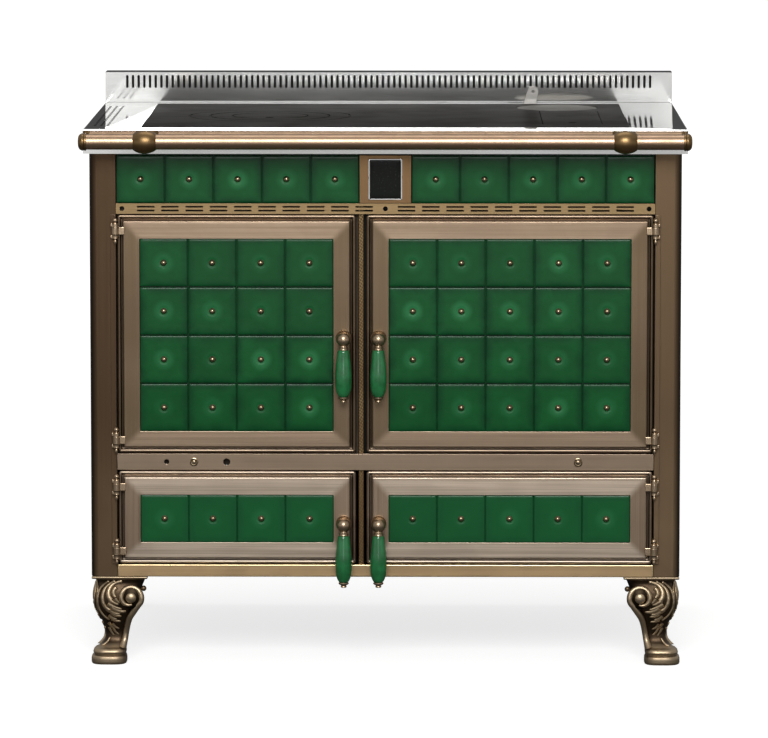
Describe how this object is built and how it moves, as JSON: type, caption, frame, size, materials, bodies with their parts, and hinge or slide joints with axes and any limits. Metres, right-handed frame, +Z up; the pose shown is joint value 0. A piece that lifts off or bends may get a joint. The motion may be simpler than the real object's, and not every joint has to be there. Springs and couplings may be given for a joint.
{
  "type": "wood cookstove",
  "caption": "Wood-burning kitchen range with a green-tiled front, bronze frames, hinged doors with hanging grips, a steel worktop round an iron hob, and a towel rail.",
  "frame": {"origin": "on the floor, under the middle of the overall box", "axes": "+X to the right and -Y towards a person in front of the stove, +Z up"},
  "size_m": [0.9578, 0.7136, 0.9053],
  "materials": {
    "bronze": "brushed bronze on pressed steel, worn bright along the edges",
    "dark_bronze": "dark burnished bronze lacquer on bent steel sheet",
    "gilt": "golden brushed brass",
    "cast_bronze": "dark patinated casting rubbed bright on its high spots",
    "stainless": "polished stainless sheet",
    "cast_iron": "ground and blackened iron",
    "ground_iron": "bright ground iron",
    "fire_iron": "heat-dulled iron",
    "galvanised": "dull zinc-coated sheet",
    "green_glaze": "glossy bottle-green glaze, uneven in depth",
    "black_enamel": "glossy black vitreous enamel"
  },
  "bodies": {
    "root": {"side_panel_left": "dark_bronze", "side_panel_right": "dark_bronze", "back_panel": "galvanised", "floor_pan": "galvanised", "mid_shelf": "galvanised", "bottom_rail": "gilt", "centre_post": "dark_bronze", "control_strip": "bronze", "vent_strip": "gilt", "frieze_tiles_left": "green_glaze", "frieze_tiles_right": "green_glaze", "plaque_block": "bronze", "plaque_plate": "black_enamel", "steel_top": "stainless", "splash_back": "stainless", "hob_plate": "cast_iron", "rail_bar": "bronze", "rail_ball_left": "cast_bronze", "rail_ball_right": "cast_bronze", "rail_end_left": "cast_bronze", "rail_end_right": "cast_bronze", "leg_front_left": "cast_bronze", "leg_front_right": "cast_bronze", "leg_rear_left": "cast_bronze", "leg_rear_right": "cast_bronze", "hinge_strip_left": "dark_bronze", "hinge_strip_right": "dark_bronze", "firebox": "fire_iron", "grate": "cast_iron", "ash_drawer": "galvanised", "oven_box": "black_enamel", "oven_rack": "stainless", "flue_box": "cast_iron"},
    "firebox_door": {"firebox_door_frame": "bronze", "firebox_door_tiles": "green_glaze", "firebox_door_liner": "cast_iron"},
    "oven_door": {"oven_door_frame": "bronze", "oven_door_tiles": "green_glaze", "oven_door_liner": "cast_iron"},
    "ash_door": {"ash_door_frame": "bronze", "ash_door_tiles": "green_glaze", "ash_door_liner": "cast_iron"},
    "store_door": {"store_door_frame": "bronze", "store_door_tiles": "green_glaze", "store_door_liner": "cast_iron"},
    "firebox_door_handle_turn": {"firebox_door_handle": "cast_bronze", "firebox_door_grip": "green_glaze"},
    "oven_door_handle_turn": {"oven_door_handle": "cast_bronze", "oven_door_grip": "green_glaze"},
    "ash_door_handle_turn": {"ash_door_handle": "cast_bronze", "ash_door_grip": "green_glaze"},
    "store_door_handle_turn": {"store_door_handle": "cast_bronze", "store_door_grip": "green_glaze"},
    "hob_ring_outer": {"hob_ring_outer": "cast_iron"},
    "hob_ring_inner": {"hob_ring_inner": "cast_iron"},
    "hob_lid": {"hob_lid": "cast_iron"},
    "cleaning_plate": {"cleaning_plate": "cast_iron"},
    "flue_cover": {"flue_cover": "ground_iron"},
    "damper": {"damper_lever": "stainless", "damper_flap": "cast_iron"}
  },
  "joints": [
    {"name": "firebox_door_hinge", "type": "hinge", "parent": "root", "child": "firebox_door", "pos_m": [-0.425, -0.27925, 0.52915], "axis": [0, 0, -1], "range_deg": [0, 110]},
    {"name": "oven_door_hinge", "type": "hinge", "parent": "root", "child": "oven_door", "pos_m": [0.425, -0.27925, 0.52915], "axis": [0, 0, 1], "range_deg": [0, 110]},
    {"name": "ash_door_hinge", "type": "hinge", "parent": "root", "child": "ash_door", "pos_m": [-0.425, -0.27925, 0.2371], "axis": [0, 0, -1], "range_deg": [0, 110]},
    {"name": "store_door_hinge", "type": "hinge", "parent": "root", "child": "store_door", "pos_m": [0.425, -0.27925, 0.2371], "axis": [0, 0, 1], "range_deg": [0, 110]},
    {"name": "firebox_door_handle", "type": "hinge", "parent": "firebox_door", "child": "firebox_door_handle_turn", "pos_m": [-0.0657, -0.27525, 0.52365], "axis": [0, 1, 0], "range_deg": [0, 90]},
    {"name": "oven_door_handle", "type": "hinge", "parent": "oven_door", "child": "oven_door_handle_turn", "pos_m": [-0.0108, -0.27525, 0.52365], "axis": [0, -1, 0], "range_deg": [0, 90]},
    {"name": "ash_door_handle", "type": "hinge", "parent": "ash_door", "child": "ash_door_handle_turn", "pos_m": [-0.0657, -0.27525, 0.2285], "axis": [0, 1, 0], "range_deg": [0, 90]},
    {"name": "store_door_handle", "type": "hinge", "parent": "store_door", "child": "store_door_handle_turn", "pos_m": [-0.0108, -0.27525, 0.2285], "axis": [0, -1, 0], "range_deg": [0, 90]},
    {"name": "hob_ring_outer_lift", "type": "slide", "parent": "root", "child": "hob_ring_outer", "axis": [0, 0, 1], "range_m": [0, 0.12]},
    {"name": "hob_ring_inner_lift", "type": "slide", "parent": "hob_ring_outer", "child": "hob_ring_inner", "axis": [0, 0, 1], "range_m": [0, 0.12]},
    {"name": "hob_lid_lift", "type": "slide", "parent": "hob_ring_inner", "child": "hob_lid", "axis": [0, 0, 1], "range_m": [0, 0.12]},
    {"name": "cleaning_plate_lift", "type": "slide", "parent": "root", "child": "cleaning_plate", "axis": [0, 0, 1], "range_m": [0, 0.12]},
    {"name": "flue_cover_lift", "type": "slide", "parent": "root", "child": "flue_cover", "axis": [0, 0, 1], "range_m": [0, 0.12]},
    {"name": "damper_swing", "type": "hinge", "parent": "root", "child": "damper", "pos_m": [0.2295, 0.1, 0.83], "axis": [0, -1, 0], "range_deg": [0, 45]}
  ]
}
